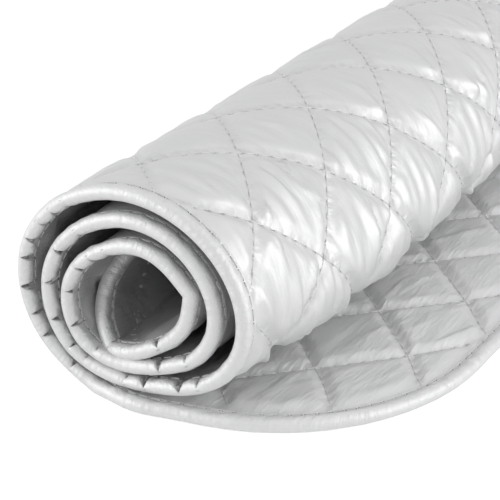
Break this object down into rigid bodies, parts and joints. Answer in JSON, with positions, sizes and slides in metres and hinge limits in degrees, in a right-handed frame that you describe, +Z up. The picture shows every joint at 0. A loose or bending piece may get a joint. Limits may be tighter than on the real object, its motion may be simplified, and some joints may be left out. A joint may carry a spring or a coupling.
{
  "type": "ironing pad",
  "caption": "Quilted silver ironing pad with a bound edge, rolled up loosely with its free end lying flat; unrolled on a table it is a heat-proof surface to iron on.",
  "frame": {"origin": "on the table under the roll's middle, half way along its width", "axes": "+Z up, +Y along the roll's axis away from the camera, +X from the roll towards the free end"},
  "size_m": [0.1483, 0.48, 0.0851],
  "materials": {
    "silver_cloth": "satin metal-coated cloth",
    "grey_cloth": "matt metal-coated cloth",
    "edge_tape": "smooth woven binding tape",
    "wadding_fibre": "soft polyester wadding"
  },
  "bodies": {
    "roll": {"roll_outer_cover": "silver_cloth", "roll_wadding": "wadding_fibre", "roll_inner_cover": "grey_cloth", "roll_tape": "edge_tape"},
    "free_end_root_side": {"free_end_root_side_outer_cover": "silver_cloth", "free_end_root_side_wadding": "wadding_fibre", "free_end_root_side_inner_cover": "grey_cloth", "free_end_root_side_near_tape": "edge_tape", "free_end_root_side_far_tape": "edge_tape"},
    "free_end_middle": {"free_end_middle_outer_cover": "silver_cloth", "free_end_middle_wadding": "wadding_fibre", "free_end_middle_inner_cover": "grey_cloth", "free_end_middle_near_tape": "edge_tape", "free_end_middle_far_tape": "edge_tape"},
    "free_end_tip": {"free_end_tip_outer_cover": "silver_cloth", "free_end_tip_wadding": "wadding_fibre", "free_end_tip_inner_cover": "grey_cloth", "free_end_tip_tape": "edge_tape"}
  },
  "joints": [
    {"name": "free_end_lift", "type": "hinge", "parent": "roll", "child": "free_end_root_side", "pos_m": [0.01762, 0, 0.006], "axis": [0, -1, 0], "range_deg": [0, 24]},
    {"name": "free_end_middle_curl", "type": "hinge", "parent": "free_end_root_side", "child": "free_end_middle", "pos_m": [0.04312, 0, 0.006], "axis": [0, -1, 0], "range_deg": [0, 36]},
    {"name": "free_end_tip_curl", "type": "hinge", "parent": "free_end_middle", "child": "free_end_tip", "pos_m": [0.06862, 0, 0.006], "axis": [0, -1, 0], "range_deg": [0, 36]}
  ],
  "couplings": [
    {"joint": "free_end_middle_curl", "follows": "free_end_lift", "ratio": 1.5},
    {"joint": "free_end_tip_curl", "follows": "free_end_lift", "ratio": 1.5}
  ]
}
